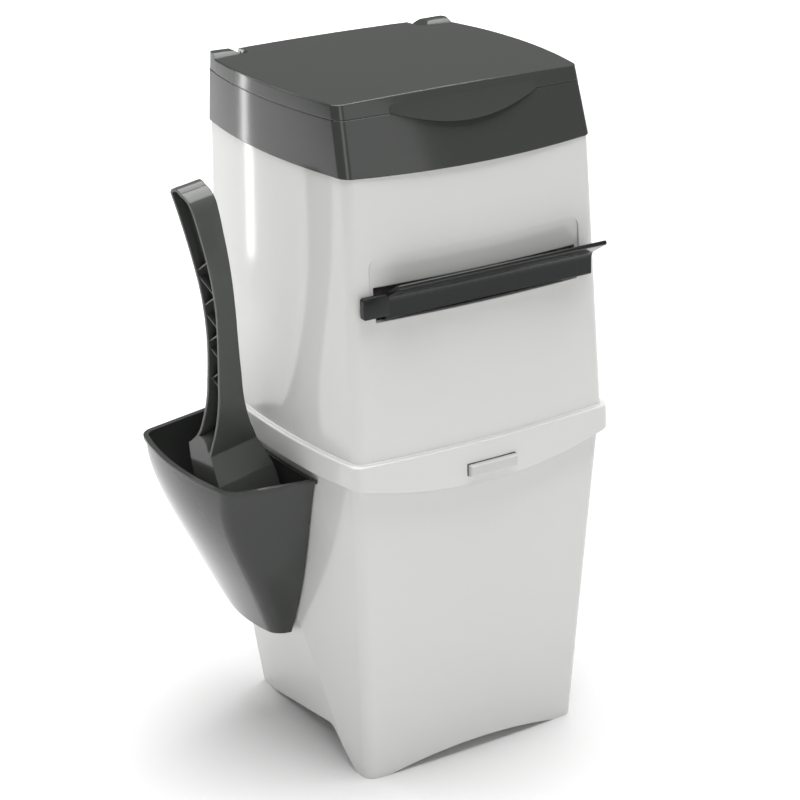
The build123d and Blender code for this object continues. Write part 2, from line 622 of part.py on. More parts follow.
with BuildPart() as gate_strip:
    block((-76, GATE_REAR, 381), (76, GATE_REAR + 3.8, 388))
    fillet(gate_strip.faces().sort_by(Axis.Y)[-1].edges().filter_by(Axis.X), 1.5)
finish(gate_strip.part, "gate_strip")

HANDLE_SCREW_X = (-60, -22, 22, 60)
HANDLE_SCREW_Y = -92.0

with BuildPart() as gate_plate:
    block((-GATE_HALF, GATE_FRONT, GATE_LOW), (GATE_HALF, GATE_REAR, GATE_LOW + GATE_THICK))
    fillet(gate_plate.edges().filter_by(Axis.Z), 3)
    for x in (-54, -27, 0, 27, 54):
        with BuildSketch(Plane.XY.offset(GATE_LOW)) as dimple:
            with Locations((x, -10)):
                RectangleRounded(16, 130, 5)
        extrude(dimple.sketch, amount=1, mode=Mode.SUBTRACT)
    for x in HANDLE_SCREW_X:
        rod((x, HANDLE_SCREW_Y, GATE_LOW), 2.4, SCREW_HOLE, Axis.Z, Mode.SUBTRACT)
finish(gate_plate.part, "gate_plate")

HANDLE_HALF = 97.0
WEB_HALF = 79.0
WEB_FRONT, WEB_REAR = -106.4, -103.6
WEB_LOW, WEB_HIGH = SLOT_LOW + 1.0, 392.0
TAB_FRONT, TAB_REAR = -110.4, -108.0
LIP_TIP = (-127.0, 402.9)
LIP_THICK = 2.2

with BuildPart() as gate_handle:
    # thin straight lip that the fingers pull, wider than the slot, with a bead along its edge
    with BuildSketch(Plane.YZ.offset(-HANDLE_HALF)) as lip:
        with BuildLine() as lip_middle:
            Line((WEB_FRONT + 0.4, WEB_HIGH - 1.4), LIP_TIP)
        trace(lip_middle.line, line_width=LIP_THICK)
        with Locations(LIP_TIP):
            Circle(1.6)
    extrude(lip.sketch, amount=2 * HANDLE_HALF)
    for side in (-1, 1):
        end = sorted((side * WEB_HALF, side * (HANDLE_HALF + 1)))
        block((end[0], TAB_REAR, 385), (end[1], WEB_REAR, 400), Mode.SUBTRACT)
    # upright web that fills the slot, carried by a foot under the gate
    block((-WEB_HALF, WEB_FRONT, WEB_LOW), (WEB_HALF, WEB_REAR, WEB_HIGH))
    block((-76, WEB_REAR - 0.5, GATE_LOW - 3), (76, -86, GATE_LOW))
    # tabs in front of the housing, a step ahead of the web
    for side in (-1, 1):
        tab = sorted((side * (WEB_HALF - 1.8), side * (HANDLE_HALF + 0.5)))
        block((tab[0], TAB_FRONT, 376.2), (tab[1], TAB_REAR, 393.0))
        cheek = sorted((side * (WEB_HALF - 1.8), side * WEB_HALF))
        block((cheek[0], TAB_REAR - 1, 376.2), (cheek[1], WEB_REAR, 392.0))
    for x in HANDLE_SCREW_X:
        rod((x, HANDLE_SCREW_Y, GATE_LOW - 3), 3, SCREW_HOLE, Axis.Z, Mode.SUBTRACT)
finish(gate_handle.part, "gate_handle")

with BuildPart() as handle_screws:
    for x in HANDLE_SCREW_X:
        rod((x, HANDLE_SCREW_Y, GATE_LOW - 3), 5.2, SCREW_SHANK, Axis.Z)
        rod((x, HANDLE_SCREW_Y, GATE_LOW - 3), -SCREW_HEAD_HEIGHT, SCREW_HEAD, Axis.Z)
finish(handle_screws.part, "handle_screws")

# ---------------------------------------------------------------------------------------------------
# Film cassette
# ---------------------------------------------------------------------------------------------------
TRAY_LOW = 453.0
TRAY_TOP = HOUSING_TOP + RIM_DECK + 2.0
TRAY_WALL = 1.5

with BuildPart() as cassette_tray:
    with BuildSketch(Plane.XZ) as tray_section:
        Polygon(
            (CASSETTE_BORE, TRAY_LOW),
            (CASSETTE_RADIUS, TRAY_LOW),
            (CASSETTE_RADIUS, TRAY_TOP - 2),
            (CASSETTE_RADIUS + 7, TRAY_TOP - 2),
            (CASSETTE_RADIUS + 7, TRAY_TOP),
            (CASSETTE_RADIUS - TRAY_WALL, TRAY_TOP),
            (CASSETTE_RADIUS - TRAY_WALL, TRAY_LOW + TRAY_WALL),
            (CASSETTE_BORE + TRAY_WALL, TRAY_LOW + TRAY_WALL),
            (CASSETTE_BORE + TRAY_WALL, TRAY_TOP - 5),
            (CASSETTE_BORE, TRAY_TOP - 5),
            align=None,
        )
    revolve(tray_section.sketch, axis=Axis.Z)
cassette_tray.part.locate(Location((0, CASSETTE_Y, 0)))
finish(cassette_tray.part, "cassette_tray")

with BuildPart() as cassette_cover:
    with Locations((0, CASSETTE_Y, TRAY_TOP + 1.3)):
        Cylinder(91, 2.6)
        Cylinder(CASSETTE_BORE + 3.5, 2.6, mode=Mode.SUBTRACT)
    fillet(cassette_cover.faces().sort_by(Axis.Z)[-1].edges(), 1.0)
    with Locations((0, CASSETTE_Y, TRAY_TOP - 1.5)):
        Cylinder(CASSETTE_RADIUS - TRAY_WALL - SEAT, 3)
        Cylinder(CASSETTE_RADIUS - TRAY_WALL - SEAT - 1.5, 3, mode=Mode.SUBTRACT)
finish(cassette_cover.part, "cassette_cover")

with BuildPart() as film_pack:
    with Locations((0, CASSETTE_Y, TRAY_LOW + TRAY_WALL + 11.4)):
        Cylinder(CASSETTE_RADIUS - 3, 22)
        Cylinder(CASSETTE_BORE + 2.4, 22, mode=Mode.SUBTRACT)
finish(film_pack.part, "film_pack")

FILM = 1.2
FILM_FLOOR = 389.0


def film_levels(inset):
    """Outlines of the hanging film, from the tied floor up to the bore of the cassette."""
    sections = []
    for level, across, corner in ((FILM_FLOOR, 108, 24), (402, 126, 30), (440, 112, 50), (484, 112, 55.9)):
        with BuildSketch(Plane.XY.offset(level + (inset if level == FILM_FLOOR else 0))) as section:
            with Locations((0, CASSETTE_Y)):
                RectangleRounded(across - 2 * inset, across - 2 * inset, corner - inset)
        sections.append(section.sketch)
    return sections


with BuildPart() as bag_film:
    loft(film_levels(0), ruled=True)
    loft(film_levels(FILM), ruled=True, mode=Mode.SUBTRACT)
finish(bag_film.part, "bag_film")

# ---------------------------------------------------------------------------------------------------
# Film cutter on the collar's deck
# ---------------------------------------------------------------------------------------------------
CUTTER_PLACE = Location((-75, -71, HOUSING_TOP + RIM_DECK), (0, 0, -45))

with BuildPart() as cutter_holder:
    with Locations(CUTTER_PLACE):
        with Locations((0, 0, 6.5)):
            Box(26, 8, 13)
            fillet(cutter_holder.edges().filter_by(Axis.Z), 1.5)
        with Locations((0, 0, 10)):
            Box(28, 1.6, 7, mode=Mode.SUBTRACT)
        with Locations((0, 0, 6)):
            Box(14, 0.7, 4, mode=Mode.SUBTRACT)
finish(cutter_holder.part, "cutter_holder")

with BuildPart() as cutter_blade:
    with Locations(CUTTER_PLACE):
        with Locations((0, 0, 7.6)):
            Box(13.9, 0.6, 6)
finish(cutter_blade.part, "cutter_blade")

# ---------------------------------------------------------------------------------------------------
# Side pouch for the scoop
# ---------------------------------------------------------------------------------------------------
POUCH_TOP = POUCH[-1].level
ROLL_OUT, ROLL_HIGH = 2.0, 2.6


def pouch_outline(s, grow=0.0):
    """Outline of the pouch at one station: its inner side follows the pail's flank."""
    wall_middle = (s.front + s.back) / 2
    wall_x = [-side_x(PAIL_WALL, s.level, y) - POUCH_GAP for y in (s.front, wall_middle, s.back)]
    with BuildSketch(Plane.XY.offset(s.level)) as sketch:
        with BuildLine():
            Line((wall_x[0], s.front), (-s.corner, s.corner_front))
            ThreePointArc(
                (-s.corner, s.corner_front),
                (-s.middle, (s.corner_front + s.corner_back) / 2),
                (-s.corner, s.corner_back),
            )
            Line((-s.corner, s.corner_back), (wall_x[2], s.back))
            ThreePointArc((wall_x[2], s.back), (wall_x[1], wall_middle), (wall_x[0], s.front))
        make_face()
        fillet(sketch.vertices().sort_by(Axis.X)[:2], POUCH_CORNER)
        if grow:
            offset(amount=grow)
    return sketch.sketch


with BuildPart() as pouch_hollow:
    loft([pouch_outline(s, -POUCH_WALL) for s in POUCH])
    block((-220, -80, POUCH[0].level - 1), (-80, 120, POUCH[0].level + WALL), Mode.SUBTRACT)

with BuildPart() as scoop_bin:
    loft([pouch_outline(s) for s in POUCH])
    rim_outline = pouch_outline(POUCH[-1], ROLL_OUT)
    extrude(rim_outline, amount=-ROLL_HIGH)
    add(pouch_hollow.part, mode=Mode.SUBTRACT)
    loft(walls(PAIL_WALL, POUCH[0].level - 5, POUCH_TOP + 2, 0.8), ruled=True, mode=Mode.SUBTRACT)
    # windows that hang on the pail's prongs
    for prong_y in PRONG_Y:
        wall_x = -side_x(PAIL_WALL, PRONG_LEVEL, prong_y)
        block(
            (wall_x - 8.5, prong_y - PRONG_HALF - 1, PRONG_LEVEL - 11),
            (wall_x + 0.5, prong_y + PRONG_HALF + 1, PRONG_LEVEL + 0.1),
            Mode.SUBTRACT,
        )
finish(scoop_bin.part, "scoop_bin")

# ---------------------------------------------------------------------------------------------------
# Scoop
# ---------------------------------------------------------------------------------------------------
turn, lean = radians(SCOOP_TURN), radians(SCOOP_LEAN)
SCOOP_SIDE = Plane(
    origin=SCOOP_ORIGIN,
    x_dir=(-sin(turn), cos(turn), 0),
    z_dir=(cos(lean) * cos(turn), cos(lean) * sin(turn), sin(lean)),
)
SCOOP_FACE = Plane(origin=SCOOP_ORIGIN, x_dir=SCOOP_SIDE.z_dir, z_dir=-SCOOP_SIDE.x_dir)

# Side view of the scoop (depth, height): arcs through every three points along the handle's front and
# back edge, and the plate of the bowl
HANDLE_FRONT = [(-1, -8), (-9, 42), (-16, 90), (-18.6, 126), (-14.6, 164), (-13, 174), (-11, 182.5)]
HANDLE_TOP = [(-11, 182.5), (-6.4, 190.6), (1.4, 195), (8.4, 197.4), (14.3, 193)]
HANDLE_BACK = [(14.3, 193), (6.6, 162), (0.2, 126), (-0.8, 103), (0.4, 80), (5.8, 48), (16, 9), (21.4, 0), (28, -5)]
PLATE = [(-1, -8), (-12, -28), (-19, -50), (-18, -72), (-11, -88)]
ZIGZAG = [(-18, 36), (3, 50), (-18, 64), (3, 78), (-18, 92), (3, 106), (-18, 120), (3, 134), (-18, 148)]
# Front view: half width at heights, also as arcs through every three points
FLARE = [(11.2, 200), (8.9, 150), (8, 112), (8.6, 78), (10, 48), (12, 24), (16.2, 6), (21.4, -10), (24.6, -26)]
FLARE += [(25.2, -44), (22.3, -62), (20.9, -70), (19, -78)]
HEEL = (14.5, -9.0)  # the rounded heel over the bowl
HEEL_RADIUS = 11.5


def scoop_outline(inset=0.0):
    """Front view of the scoop: narrow handle flaring to a wide head with a rounded tip."""
    with BuildSketch(SCOOP_FACE) as sketch:
        left = [(-x, y) for x, y in FLARE]
        with BuildLine():
            for start in range(0, len(FLARE) - 2, 2):
                ThreePointArc(*FLARE[start : start + 3])
                ThreePointArc(*left[start : start + 3])
            Line(left[0], FLARE[0])
            ThreePointArc(FLARE[-1], (0, -91), left[-1])
        make_face()
        if inset:
            offset(amount=-inset)
    return sketch.sketch


def handle_outline(inset=0.0):
    """Side view of the handle."""
    points = HANDLE_FRONT + HANDLE_TOP[1:] + HANDLE_BACK[1:]
    with BuildSketch(SCOOP_SIDE) as sketch:
        with BuildLine():
            for start in range(0, len(points) - 2, 2):
                ThreePointArc(*points[start : start + 3])
            Line(points[-1], points[0])
        make_face()
        if inset:
            offset(amount=-inset)
    return sketch.sketch


with BuildPart() as handle_pockets:
    extrude(handle_outline(SCOOP_WALL), amount=30, both=True)
    with BuildSketch(SCOOP_SIDE) as ribs:
        with BuildLine() as zigzag:
            Polyline(*ZIGZAG)
        trace(zigzag.line, line_width=1.2)
    extrude(ribs.sketch, amount=7.4, both=True, mode=Mode.SUBTRACT)
    with BuildSketch(SCOOP_SIDE) as web_area:
        with Locations((0, 90)):
            Rectangle(120, 240)
    extrude(web_area.sketch, amount=1, both=True, mode=Mode.SUBTRACT)

with BuildPart() as bowl_hollow:
    with BuildSketch(SCOOP_SIDE) as bowl_inside:
        Polygon(
            (1.4, -10.4), (-9.8, -28.8), (-16.8, -50), (-15.8, -71), (-9, -84), (45, -84), (45, -7.2), align=None
        )
        with Locations(HEEL):
            Circle(HEEL_RADIUS - SCOOP_WALL)
    extrude(bowl_inside.sketch, amount=30, both=True)
    extrude(scoop_outline(SCOOP_WALL), amount=60, both=True, mode=Mode.INTERSECT)

with BuildPart() as scoop:
    extrude(handle_outline(), amount=30, both=True)
    add(handle_pockets.part, mode=Mode.SUBTRACT)
    with BuildSketch(SCOOP_SIDE) as bowl:
        Polygon(*PLATE, (8, -62), (27, -8), (28, -5), align=None)
        with Locations(HEEL):
            Circle(HEEL_RADIUS)
    extrude(bowl.sketch, amount=30, both=True)
    extrude(scoop_outline(), amount=60, both=True, mode=Mode.INTERSECT)
    add(bowl_hollow.part, mode=Mode.SUBTRACT)
    with BuildSketch(SCOOP_FACE) as slots:
        with GridLocations(5.4, 1, 7, 1):
            with Locations((0, -62)):
                SlotOverall(30, 2.8, rotation=90)
    extrude(slots.sketch, amount=60, both=True, mode=Mode.SUBTRACT)
    # small loop to hang the scoop by
    with BuildSketch(SCOOP_SIDE) as loop:
        with Locations((18.4, 187.5)):
            Circle(5.6)
            Circle(4.0, mode=Mode.SUBTRACT)
    extrude(loop.sketch, amount=1.4, both=True)
finish(scoop.part, "scoop")
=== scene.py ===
# %% [markdown]
# # Litter disposal pail
# The solids of this pail come from a CAD model. This script loads them as a fixed frame, gives every
# visible solid a moulded, rubber or metal finish, adds the pieces that a solid modeller does badly, such
# as the pleated film, and sets the studio: a pale floor, soft boxes and the camera.
# All lengths are metres. +X is the pail's right side, +Y its back, +Z up.

import math

import bmesh
import bpy
import numpy as np
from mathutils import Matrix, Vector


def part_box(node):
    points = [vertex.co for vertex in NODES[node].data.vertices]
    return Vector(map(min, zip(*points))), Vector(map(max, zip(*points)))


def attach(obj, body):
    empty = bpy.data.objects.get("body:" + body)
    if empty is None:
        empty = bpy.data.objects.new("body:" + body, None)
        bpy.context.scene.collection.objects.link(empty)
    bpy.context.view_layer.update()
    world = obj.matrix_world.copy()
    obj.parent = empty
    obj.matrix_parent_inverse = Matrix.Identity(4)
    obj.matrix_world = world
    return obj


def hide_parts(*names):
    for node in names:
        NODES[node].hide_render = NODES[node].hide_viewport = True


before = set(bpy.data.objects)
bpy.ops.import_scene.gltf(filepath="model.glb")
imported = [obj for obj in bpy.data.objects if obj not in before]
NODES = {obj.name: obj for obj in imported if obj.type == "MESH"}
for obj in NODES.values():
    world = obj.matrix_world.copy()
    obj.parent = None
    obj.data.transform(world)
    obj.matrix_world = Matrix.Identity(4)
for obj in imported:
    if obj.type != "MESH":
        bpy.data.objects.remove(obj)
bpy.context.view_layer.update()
MM = 0.001

# %% [markdown]
# ## Camera
# A product shot is taken with a long lens from a little above, so upright edges stay nearly parallel.
# The camera's three axes are written out from its turn, its tilt and its roll, and become the columns of
# its matrix.

# %% Camera
CAMERA_PLACE = np.array([-0.85593, -1.40453, 0.92162])
TURN, TILT, ROLL = math.radians(31.293), math.radians(21.943), math.radians(-1.092)
SENSOR, LENS = 36.0, 103.413


def camera_matrix(place, turn, tilt, roll):
    """Columns right, up and backwards: the view from turn and tilt, then the others rolled about it."""
    ahead = np.array([math.sin(turn) * math.cos(tilt), math.cos(turn) * math.cos(tilt), -math.sin(tilt)])
    right = np.cross(ahead, [0.0, 0.0, 1.0])
    right /= np.linalg.norm(right)
    up = np.cross(right, ahead)
    c, s = math.cos(roll), math.sin(roll)
    matrix = np.eye(4)
    matrix[:3, 0] = c * right + s * up
    matrix[:3, 1] = c * up - s * right
    matrix[:3, 2] = -ahead
    matrix[:3, 3] = place
    return matrix


camera_data = bpy.data.cameras.new("camera")
camera_data.sensor_width = SENSOR
camera_data.lens = LENS
camera = bpy.data.objects.new("camera", camera_data)
bpy.context.scene.collection.objects.link(camera)
camera.matrix_world = camera_matrix(CAMERA_PLACE, TURN, TILT, ROLL).T
bpy.context.scene.camera = camera
print("camera", [round(float(v), 3) for v in CAMERA_PLACE], "lens", LENS)

# %% [markdown]
# ## Studio
# A catalogue shot of a white object stands on a floor that is lit past white, so that only the soft
# shadow is left of it. A very wide panel high above does that. The panel sits to the right, so the shadow
# falls to the left. Two more panels light only the floor around, each kept to a narrow cone so that it
# doesn't wash out the back. The object's whites are then darker than the floor, and glossy plastic needs
# something to mirror: small cards in front and a tall thin one at the left draw the long pale streaks.

# %% Colour handling and world
scene = bpy.context.scene
scene.view_settings.view_transform = "Standard"

WORLD_STRENGTH = 0.14
world = bpy.data.worlds.new("studio")
world.use_nodes = True
background = world.node_tree.nodes["Background"]
background.inputs["Color"].default_value = (1.0, 1.0, 1.0, 1.0)
background.inputs["Strength"].default_value = WORLD_STRENGTH
scene.world = world
print("world strength", WORLD_STRENGTH)


# %% Helpers for materials and meshes
def new_material(name):
    """A material with an empty node tree, its output and its shader."""
    material = bpy.data.materials.new(name)
    material.use_nodes = True
    tree = material.node_tree
    tree.nodes.clear()
    output = tree.nodes.new("ShaderNodeOutputMaterial")
    shader = tree.nodes.new("ShaderNodeBsdfPrincipled")
    tree.links.new(shader.outputs["BSDF"], output.inputs["Surface"])
    return material, tree, shader


def placed(name, data):
    """A new object at the origin that holds a mesh or a light."""
    made = bpy.data.objects.new(name, data)
    scene.collection.objects.link(made)
    return made


def mesh_object(name, points, faces):
    """A smooth-shaded object at the origin, made from an array of points and a list of faces."""
    mesh = bpy.data.meshes.new(name)
    mesh.from_pydata(np.asarray(points, float).tolist(), [], faces)
    mesh.update()
    mesh.polygons.foreach_set("use_smooth", np.ones(len(mesh.polygons), bool))
    return placed(name, mesh)


# %% Floor
STUDIO_HALF, FLOOR_GREY = 9.0, 0.76
floor_corners = [(x * STUDIO_HALF, y * STUDIO_HALF, 0.0) for x, y in ((-1, -1), (1, -1), (1, 1), (-1, 1))]
floor = mesh_object("floor", floor_corners, [(0, 1, 2, 3)])
floor_paint, _, floor_shader = new_material("floor_paint")
floor_shader.inputs["Base Color"].default_value = (FLOOR_GREY, FLOOR_GREY, FLOOR_GREY, 1.0)
floor_shader.inputs["Roughness"].default_value = 0.7
floor_shader.inputs["Specular IOR Level"].default_value = 0.1
floor.data.materials.append(floor_paint)
print("floor", 2 * STUDIO_HALF, "m square")


# %% Soft boxes
def soft_box(name, place, aim, width, height, power, spread=180):
    """A rectangular area light at a place, facing a point, whose light keeps to a cone of spread degrees."""
    light = bpy.data.lights.new(name, "AREA")
    light.shape = "RECTANGLE"
    light.size, light.size_y = width, height
    light.energy = power
    light.spread = math.radians(spread)
    made = placed(name, light)
    ahead = np.array(aim, float) - np.array(place, float)
    ahead /= np.linalg.norm(ahead)
    side = np.cross(ahead, [0.0, 0.0, 1.0] if abs(ahead[2]) < 0.99 else [0.0, 1.0, 0.0])
    side /= np.linalg.norm(side)
    matrix = np.eye(4)
    matrix[:3, 0], matrix[:3, 1], matrix[:3, 2] = side, np.cross(side, ahead), -ahead
    matrix[:3, 3] = place
    made.matrix_world = matrix.T
    return made


soft_box("overhead", (0.45, 0.1, 3.6), (0.45, 0.1, 0), 3.4, 3.4, 228)
soft_box("backdrop", (2.6, 3.8, 3.0), (2.6, 3.8, 0), 4.0, 4.0, 170, spread=80)
soft_box("side_floor", (-2.6, 1.8, 3.0), (-2.6, 1.8, 0), 3.0, 3.0, 62, spread=80)
soft_box("front_card", (0.20, -1.02, 0.66), (-0.05, -0.1, 0.52), 0.42, 0.6, 0.9)
soft_box("corner_card", (-0.5, -1.0, 0.66), (-0.11, -0.11, 0.45), 0.35, 0.6, 1.5)
soft_box("left_card", (-0.54, 1.0, 0.5), (-0.11, 0.04, 0.4), 0.05, 0.9, 1.0)
soft_box("left_high", (-1.1, 1.5, 1.3), (-0.11, 0.0, 0.45), 0.7, 0.7, 4.5)

# %% [markdown]
# ## Shared effects
# Moulded plastic is never perfectly even. Its colour drifts a little, its polish changes where the melt
# cooled late, its surface carries a faint orange peel, and its edges are softly rounded. These effects
# are one node group, so each plastic sets only its own amounts.

# %% Node group: moulded skin
def socket(group, name, kind, way, value=None):
    """One named input or output of a node group."""
    made = group.interface.new_socket(name=name, in_out=way, socket_type=kind)
    if value is not None:
        made.default_value = value
    return made


def noise(nodes, link, place, detail, scale=None):
    """A noise texture that is fixed to the object."""
    made = nodes.new("ShaderNodeTexNoise")
    made.inputs["Detail"].default_value = detail
    if scale is not None:
        made.inputs["Scale"].default_value = scale
    link(place.outputs["Object"], made.inputs["Vector"])
    return made


def arithmetic(nodes, operation):
    """A maths node that does one operation."""
    made = nodes.new("ShaderNodeMath")
    made.operation = operation
    return made


DRIFT = 0.3  # how far the slow noise pulls the colour towards the tint


def moulded_skin_group():
    """Outputs: colour = base mixed with a drifting tint, roughness = base plus slow and fine noise, and a
    normal from orange peel over rounded edges."""
    group = bpy.data.node_groups.new("moulded skin", "ShaderNodeTree")
    socket(group, "Color", "NodeSocketColor", "INPUT", (0.8, 0.8, 0.8, 1))
    socket(group, "Tint", "NodeSocketColor", "INPUT", (0.7, 0.7, 0.7, 1))
    socket(group, "Roughness", "NodeSocketFloat", "INPUT", 0.25)
    socket(group, "Roughness Spread", "NodeSocketFloat", "INPUT", 0.08)
    socket(group, "Peel", "NodeSocketFloat", "INPUT", 0.1)
    socket(group, "Peel Scale", "NodeSocketFloat", "INPUT", 240.0)
    socket(group, "Edge Radius", "NodeSocketFloat", "INPUT", 0.0012)
    socket(group, "Color", "NodeSocketColor", "OUTPUT")
    socket(group, "Roughness", "NodeSocketFloat", "OUTPUT")
    socket(group, "Normal", "NodeSocketVector", "OUTPUT")
    nodes, link = group.nodes, group.links.new
    entry, leave = nodes.new("NodeGroupInput"), nodes.new("NodeGroupOutput")
    place = nodes.new("ShaderNodeTexCoord")

    slow = noise(nodes, link, place, 3.0, 7.0)
    fine = noise(nodes, link, place, 2.0, 900.0)
    peel = noise(nodes, link, place, 2.0)
    link(entry.outputs["Peel Scale"], peel.inputs["Scale"])

    share = arithmetic(nodes, "MULTIPLY")
    link(slow.outputs["Fac"], share.inputs[0])
    share.inputs[1].default_value = DRIFT
    tint = nodes.new("ShaderNodeMix")
    tint.data_type = "RGBA"
    link(share.outputs[0], tint.inputs["Factor"])
    link(entry.outputs["Color"], tint.inputs["A"])
    link(entry.outputs["Tint"], tint.inputs["B"])
    link(tint.outputs["Result"], leave.inputs["Color"])

    both = arithmetic(nodes, "ADD")
    link(slow.outputs["Fac"], both.inputs[0])
    link(fine.outputs["Fac"], both.inputs[1])
    centred = arithmetic(nodes, "SUBTRACT")
    link(both.outputs[0], centred.inputs[0])
    centred.inputs[1].default_value = 1.0
    rough = arithmetic(nodes, "MULTIPLY_ADD")
    link(centred.outputs[0], rough.inputs[0])
    link(entry.outputs["Roughness Spread"], rough.inputs[1])
    link(entry.outputs["Roughness"], rough.inputs[2])
    link(rough.outputs[0], leave.inputs["Roughness"])

    rounded = nodes.new("ShaderNodeBevel")
    rounded.samples = 4
    link(entry.outputs["Edge Radius"], rounded.inputs["Radius"])
    bump = nodes.new("ShaderNodeBump")
    bump.inputs["Distance"].default_value = 0.0004
    link(entry.outputs["Peel"], bump.inputs["Strength"])
    link(peel.outputs["Fac"], bump.inputs["Height"])
    link(rounded.outputs["Normal"], bump.inputs["Normal"])
    link(bump.outputs["Normal"], leave.inputs["Normal"])
    return group


MOULDED_SKIN = moulded_skin_group()
print("moulded skin", len(MOULDED_SKIN.nodes), "nodes")


# %% Dressing
def plastic(
    name, color, tint, roughness,
    spread=0.06, peel=0.08, peel_scale=240.0, edge=0.0012, specular=0.5, metal=0.0,
):
    """Moulded plastic: the shared skin feeds colour, roughness and normal; the rest are plain numbers."""
    material, tree, shader = new_material(name)
    skin = tree.nodes.new("ShaderNodeGroup")
    skin.node_tree = MOULDED_SKIN
    values = {
        "Color": (*color, 1),
        "Tint": (*tint, 1),
        "Roughness": roughness,
        "Roughness Spread": spread,
        "Peel": peel,
        "Peel Scale": peel_scale,
        "Edge Radius": edge,
    }
    for key, value in values.items():
        skin.inputs[key].default_value = value
    for output, target in (("Color", "Base Color"), ("Roughness", "Roughness"), ("Normal", "Normal")):
        tree.links.new(skin.outputs[output], shader.inputs[target])
    shader.inputs["Specular IOR Level"].default_value = specular
    shader.inputs["Metallic"].default_value = metal
    return material


def dress(material, *names):
    """Give CAD nodes a material in place of the flat one they were packed with."""
    for name in names:
        NODES[name].data.materials.clear()
        NODES[name].data.materials.append(material)
    print(material.name, "on", ", ".join(names))


# %% [markdown]
# ## Finishes
# The outer shells are gloss white and gloss charcoal from polished moulds, so their roughness is low. The
# hidden parts come from plain moulds and are duller. A charcoal mirrors less than a white of the same
# polish, so its specular level is lower. The lip and the pull bar are too thin for a rounded edge of the
# usual size. Only CAD nodes that stay visible are dressed here; the others are replaced further on.

# %% Plastics
WHITE, WHITE_TINT = (0.73, 0.73, 0.715), (0.70, 0.70, 0.68)
CHARCOAL, CHARCOAL_TINT = (0.048, 0.051, 0.048), (0.056, 0.059, 0.056)
SCOOP, SCOOP_TINT = (0.072, 0.076, 0.071), (0.082, 0.086, 0.081)
PULL_BAR, PULL_BAR_TINT = (0.014, 0.016, 0.015), (0.018, 0.020, 0.019)

body_white = plastic("body_white", WHITE, WHITE_TINT, 0.1, spread=0.03, peel=0.03)
band_white = plastic("band_white", WHITE, WHITE_TINT, 0.12, spread=0.03, peel=0.03, edge=0.0006)
button_grey = plastic("button_grey", (0.62, 0.625, 0.61), (0.58, 0.58, 0.57), 0.2, edge=0.0006)
body_charcoal = plastic("body_charcoal", CHARCOAL, CHARCOAL_TINT, 0.12, spread=0.03, peel=0.03, specular=0.4)
bin_charcoal = plastic("bin_charcoal", CHARCOAL, CHARCOAL_TINT, 0.1, spread=0.02, peel=0.02, specular=0.3)
scoop_charcoal = plastic("scoop_charcoal", SCOOP, SCOOP_TINT, 0.14, spread=0.02, peel=0.02, specular=0.4)
lip_charcoal = plastic(
    "lip_charcoal", CHARCOAL, CHARCOAL_TINT, 0.12, spread=0.02, peel=0.0, edge=0.0, specular=0.4
)
handle_charcoal = plastic(
    "handle_charcoal", PULL_BAR, PULL_BAR_TINT, 0.12, spread=0.02, peel=0.0, edge=0.0005, specular=0.3
)
inner_white = plastic("inner_white", (0.6, 0.6, 0.585), (0.55, 0.55, 0.53), 0.5, peel=0.2)
inner_dark = plastic("inner_dark", (0.04, 0.04, 0.042), (0.055, 0.055, 0.055), 0.5, peel=0.2)
cassette_blue = plastic("cassette_blue", (0.1, 0.22, 0.36), (0.13, 0.26, 0.4), 0.4, peel=0.2)
RUBBER, RUBBER_TINT = (0.02, 0.02, 0.021), (0.035, 0.035, 0.036)
seal_rubber = plastic("seal_rubber", RUBBER, RUBBER_TINT, 0.7, peel=0.4, peel_scale=900.0)
steel = plastic("steel", (0.6, 0.61, 0.62), (0.5, 0.51, 0.53), 0.3, edge=0.0002, metal=1.0)

dress(body_white, "pail", "upper_housing")
dress(band_white, "mid_frame")
dress(button_grey, "release_button")
dress(body_charcoal, "top_rim", "cutter_holder")
dress(bin_charcoal, "scoop_bin")
dress(scoop_charcoal, "scoop")
dress(inner_white, "hopper", "rail_left", "rail_right", "fixed_jaw", "gate_plate", "latch_catch")
dress(inner_dark, "latch_hook")
dress(cassette_blue, "cassette_tray", "cassette_cover")
dress(steel, "rear_hinge_pins", "lid_hinge_pins", "cutter_blade")

# %% [markdown]
# ## Surfaces from grids
# Most new pieces are one grid of points: a closed profile carried along a path, or a radius that depends
# on an angle and a height. One helper joins neighbouring points into faces, and wraps round where the
# grid closes on itself. The points are whole numpy arrays, in millimetres, and become metres at the end.

# %% Grid helpers
def grid_faces(rows, columns, wrap_rows=False, wrap_columns=True):
    """A list of quads between neighbours of a grid: (i, j), (i, j+1), (i+1, j+1), (i+1, j)."""
    i = np.arange(rows if wrap_rows else rows - 1)[:, None]
    j = np.arange(columns if wrap_columns else columns - 1)[None, :]
    i2, j2 = (i + 1) % rows, (j + 1) % columns
    corners = [i * columns + j, i * columns + j2, i2 * columns + j2, i2 * columns + j]
    return np.stack(corners, axis=-1).reshape(-1, 4).tolist()


def outward(piece):
    """Turn every face of a closed piece outwards and weld what touches."""
    work = bmesh.new()
    work.from_mesh(piece.data)
    bmesh.ops.remove_doubles(work, verts=work.verts, dist=1e-6)
    bmesh.ops.recalc_face_normals(work, faces=work.faces)
    work.to_mesh(piece.data)
    work.free()
    return piece


def crease(piece, degrees=35.0):
    """Smooth shading that breaks where two faces meet at more than an angle."""
    piece.data.polygons.foreach_set("use_smooth", np.ones(len(piece.data.polygons), bool))
    piece.data.set_sharp_from_angle(angle=math.radians(degrees))
    return piece


